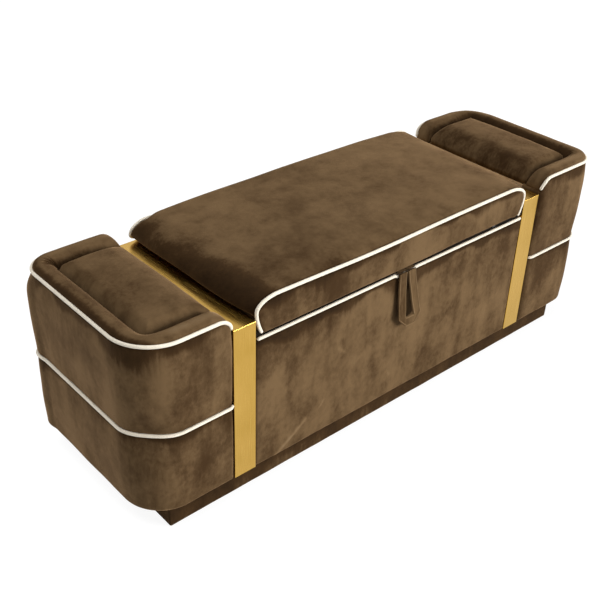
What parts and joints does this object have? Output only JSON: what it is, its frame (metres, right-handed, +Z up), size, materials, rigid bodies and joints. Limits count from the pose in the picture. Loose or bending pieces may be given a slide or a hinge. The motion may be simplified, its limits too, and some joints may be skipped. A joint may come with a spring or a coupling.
{
  "type": "storage ottoman bench",
  "caption": "Upholstered bench with rounded padded end blocks, brass bands, contrast piping, a recessed plinth and a hinged padded lid over a storage box.",
  "frame": {"origin": "on the floor under the middle of the bench", "axes": "+X along the bench to the right seen from the front, -Y to the front, +Z up"},
  "size_m": [1.4034, 0.4514, 0.4928],
  "materials": {
    "velvet": "brown velvet",
    "piping": "ivory cord piping",
    "brass": "satin brushed",
    "plywood": "bare plywood",
    "lining": "black non-woven lining",
    "foam": "upholstery foam",
    "felt": "dense felt",
    "steel": "zinc plated"
  },
  "bodies": {
    "root": {"plinth_cover": "velvet", "box_front_facing": "velvet", "box_back_facing": "velvet", "block_lower_cover_left": "velvet", "block_upper_cover_left": "velvet", "block_roll_left": "velvet", "block_pad_left": "velvet", "block_lower_cover_right": "velvet", "block_upper_cover_right": "velvet", "block_roll_right": "velvet", "block_pad_right": "velvet", "box_front_piping": "piping", "mid_piping_left": "piping", "top_piping_left": "piping", "mid_piping_right": "piping", "top_piping_right": "piping", "band_left": "brass", "band_right": "brass", "base_deck": "plywood", "box_front_panel": "plywood", "box_back_panel": "plywood", "box_side_panels": "plywood", "plinth_long_rails": "plywood", "plinth_cross_rails": "plywood", "block_posts": "plywood", "gable_left": "plywood", "block_wall_left": "plywood", "block_inner_panel_left": "plywood", "block_top_former_left": "plywood", "gable_right": "plywood", "block_wall_right": "plywood", "block_inner_panel_right": "plywood", "block_top_former_right": "plywood", "dust_cover": "lining", "box_liner": "lining", "block_foam_left": "foam", "block_foam_right": "foam", "glides": "felt", "bumpers": "felt", "hinge_body_leaves": "steel", "hinge_pins": "steel", "body_screws": "steel", "stay_studs": "steel", "block_bolts": "steel"},
    "lid": {"lid_board": "plywood", "lid_lining": "lining", "lid_cover": "velvet", "lid_foam": "foam", "lid_front_panel": "velvet", "lid_back_panel": "velvet", "lid_front_piping": "piping", "lid_back_piping": "piping", "hinge_lid_leaves": "steel", "lid_screws": "steel", "stay_brackets": "steel", "stay_rivets": "steel", "pull_tabs": "velvet"},
    "pull_loop": {"pull_loop": "velvet"},
    "stay_arm_left": {"stay_arm_left": "steel"},
    "stay_arm_right": {"stay_arm_right": "steel"}
  },
  "joints": [
    {"name": "lid_hinge", "type": "hinge", "parent": "root", "child": "lid", "pos_m": [0, 0.2162, 0.39225], "axis": [-1, 0, 0], "range_deg": [0, 90]},
    {"name": "stay_arm_left_pivot", "type": "hinge", "parent": "lid", "child": "stay_arm_left", "pos_m": [-0.40005, 0.0662, 0.38025], "axis": [-1, 0, 0], "range_deg": [-45, 0]},
    {"name": "stay_arm_right_pivot", "type": "hinge", "parent": "lid", "child": "stay_arm_right", "pos_m": [0.40005, 0.0662, 0.38025], "axis": [-1, 0, 0], "range_deg": [-45, 0]},
    {"name": "pull_loop_swing", "type": "hinge", "parent": "lid", "child": "pull_loop", "pos_m": [0.006, -0.2165, 0.392], "axis": [-1, 0, 0], "range_deg": [0, 95]}
  ],
  "couplings": [
    {"joint": "stay_arm_left_pivot", "follows": "lid_hinge", "ratio": -0.5},
    {"joint": "stay_arm_right_pivot", "follows": "lid_hinge", "ratio": -0.5}
  ]
}
